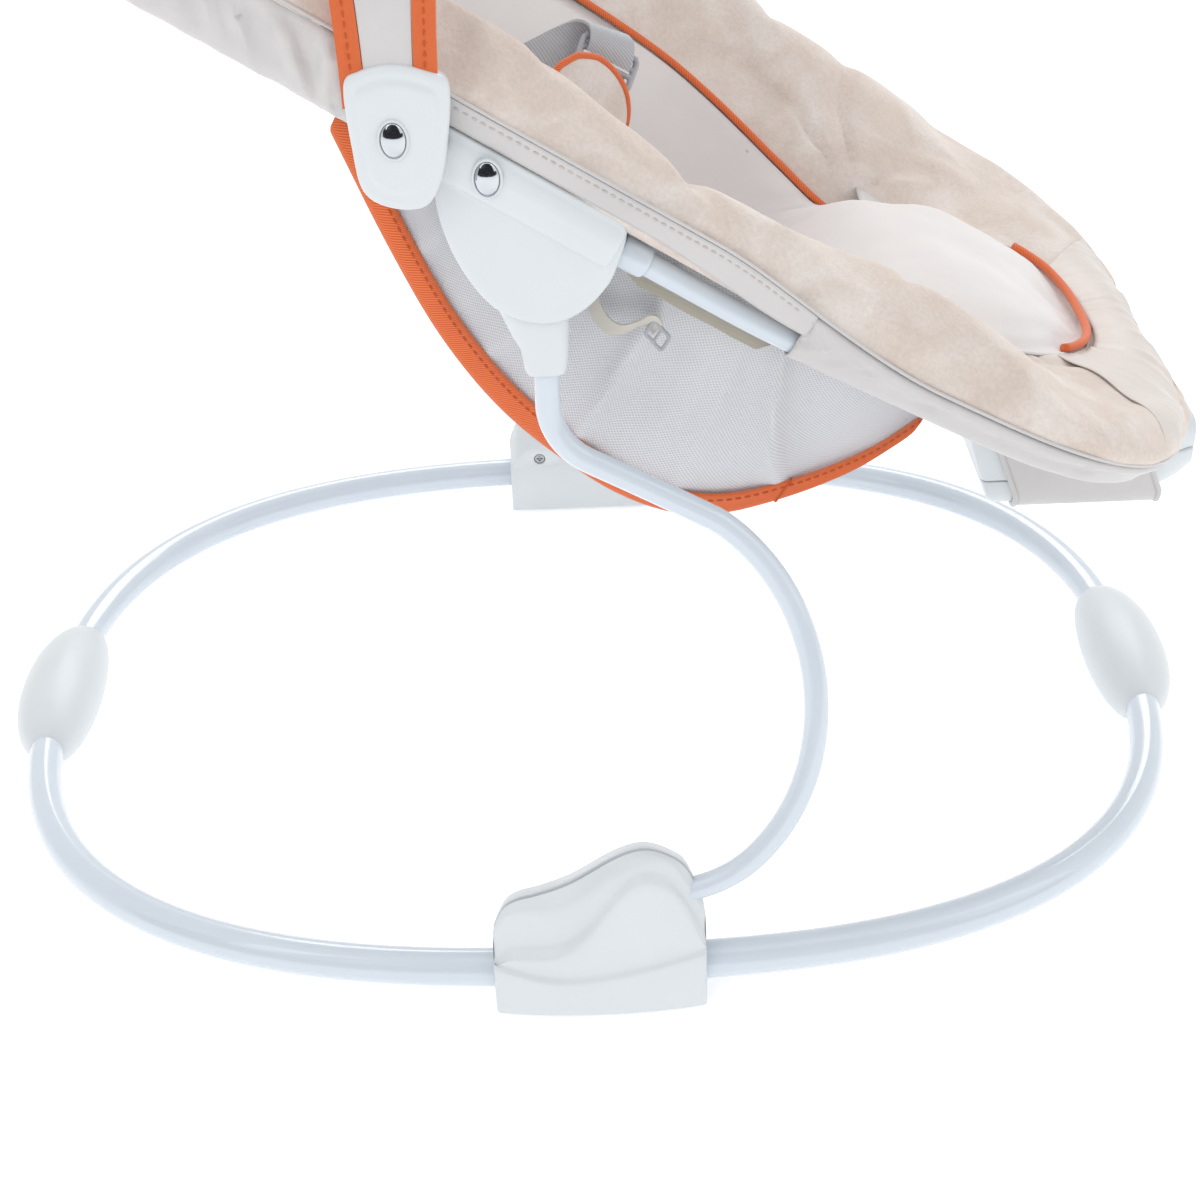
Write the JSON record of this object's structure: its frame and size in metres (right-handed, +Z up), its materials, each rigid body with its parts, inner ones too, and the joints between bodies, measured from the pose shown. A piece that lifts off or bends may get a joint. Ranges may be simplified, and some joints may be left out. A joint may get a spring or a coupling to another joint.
{
  "type": "baby bouncer",
  "caption": "Free-standing baby bouncer: oval tube base, bent spring rods, reclining padded sling seat, swinging toy bar and vibration unit.",
  "frame": {"origin": "on the floor under the middle of the oval base", "axes": "+X towards the foot end, +Y across to the far side, +Z up"},
  "size_m": [0.644, 0.531, 0.7213],
  "materials": {
    "white_plastic": "satin off-white moulding",
    "painted_tube": "glossy pale blue-grey paint",
    "chrome_cap": "polished",
    "grey_rubber": "matte",
    "steel": "plain",
    "plush": "short beige pile",
    "pale_pad": "soft brushed cloth",
    "satin": "warm grey satin",
    "white_mesh": "open mesh",
    "orange_tape": "twill tape",
    "grey_plastic": "matte",
    "cell_wrap": "wrapped cell"
  },
  "bodies": {
    "base": {"base_tube_head": "painted_tube", "base_tube_foot": "painted_tube", "head_pod": "white_plastic", "foot_pod": "white_plastic", "near_housing_shell": "white_plastic", "near_housing_cover": "white_plastic", "near_head_screw": "steel", "near_foot_screw": "steel", "near_floor_pad": "grey_rubber", "near_spring_leg": "painted_tube", "far_housing_shell": "white_plastic", "far_housing_cover": "white_plastic", "far_head_screw": "steel", "far_foot_screw": "steel", "far_floor_pad": "grey_rubber", "far_spring_leg": "painted_tube"},
    "legs_top": {"near_leg_socket": "white_plastic", "far_leg_socket": "white_plastic"},
    "seat": {"backrest_tube": "painted_tube", "seat_tube": "painted_tube", "near_hub_shell": "white_plastic", "near_hub_cover": "white_plastic", "near_hub_pivot": "steel", "near_hub_rivet": "chrome_cap", "near_bracket_pivot": "steel", "near_sling_binding": "orange_tape", "far_hub_shell": "white_plastic", "far_hub_cover": "white_plastic", "far_hub_pivot": "steel", "far_hub_rivet": "chrome_cap", "far_bracket_pivot": "steel", "far_sling_binding": "orange_tape", "side_bolster": "plush", "seat_pad": "pale_pad", "seat_sling": "white_mesh", "frame_sleeve_back": "satin", "frame_sleeve_foot": "satin", "back_panel": "satin", "foot_panel": "satin", "crotch_pad": "plush", "unit_housing": "white_plastic", "unit_base": "white_plastic", "battery": "cell_wrap", "vibration_motor": "steel", "unit_pocket": "satin"},
    "toy_bar": {"near_bracket_shell": "white_plastic", "near_bracket_cover": "white_plastic", "near_bracket_cap": "chrome_cap", "far_bracket_shell": "white_plastic", "far_bracket_cover": "white_plastic", "far_bracket_cap": "chrome_cap", "toy_bar_core": "grey_plastic", "toy_bar_cover": "satin", "toy_bar_head_tape": "orange_tape", "toy_bar_foot_tape": "orange_tape"},
    "battery_door": {"battery_door": "white_plastic", "door_screw": "steel"},
    "switch": {"power_switch": "grey_plastic"},
    "weight": {"eccentric_weight": "steel"}
  },
  "joints": [
    {"name": "bounce", "type": "hinge", "parent": "base", "child": "legs_top", "pos_m": [0.097, 0, 0.148], "axis": [0, 1, 0], "range_deg": [-4.5, 4.5], "stiffness_Nm_per_rad": 80, "springref_deg": 2.81, "deforming": ["near_spring_leg", "far_spring_leg"]},
    {"name": "seat_recline", "type": "hinge", "parent": "legs_top", "child": "seat", "pos_m": [-0.02206, 0, 0.34907], "axis": [0, 1, 0], "range_deg": [-20, 14]},
    {"name": "toy_bar_swing", "type": "hinge", "parent": "seat", "child": "toy_bar", "pos_m": [-0.06692, 0, 0.40715], "axis": [0, 1, 0], "range_deg": [-15, 70]},
    {"name": "battery_door", "type": "hinge", "parent": "seat", "child": "battery_door", "pos_m": [0.272, 0, 0.1492], "axis": [0, 1, 0], "range_deg": [0, 80]},
    {"name": "power_switch", "type": "slide", "parent": "seat", "child": "switch", "axis": [0, 1, 0], "range_m": [-0.004, 0.004]},
    {"name": "motor_spin", "type": "hinge", "parent": "seat", "child": "weight", "pos_m": [0.224, 0.013, 0.1632], "axis": [0, 1, 0], "continuous": true}
  ]
}
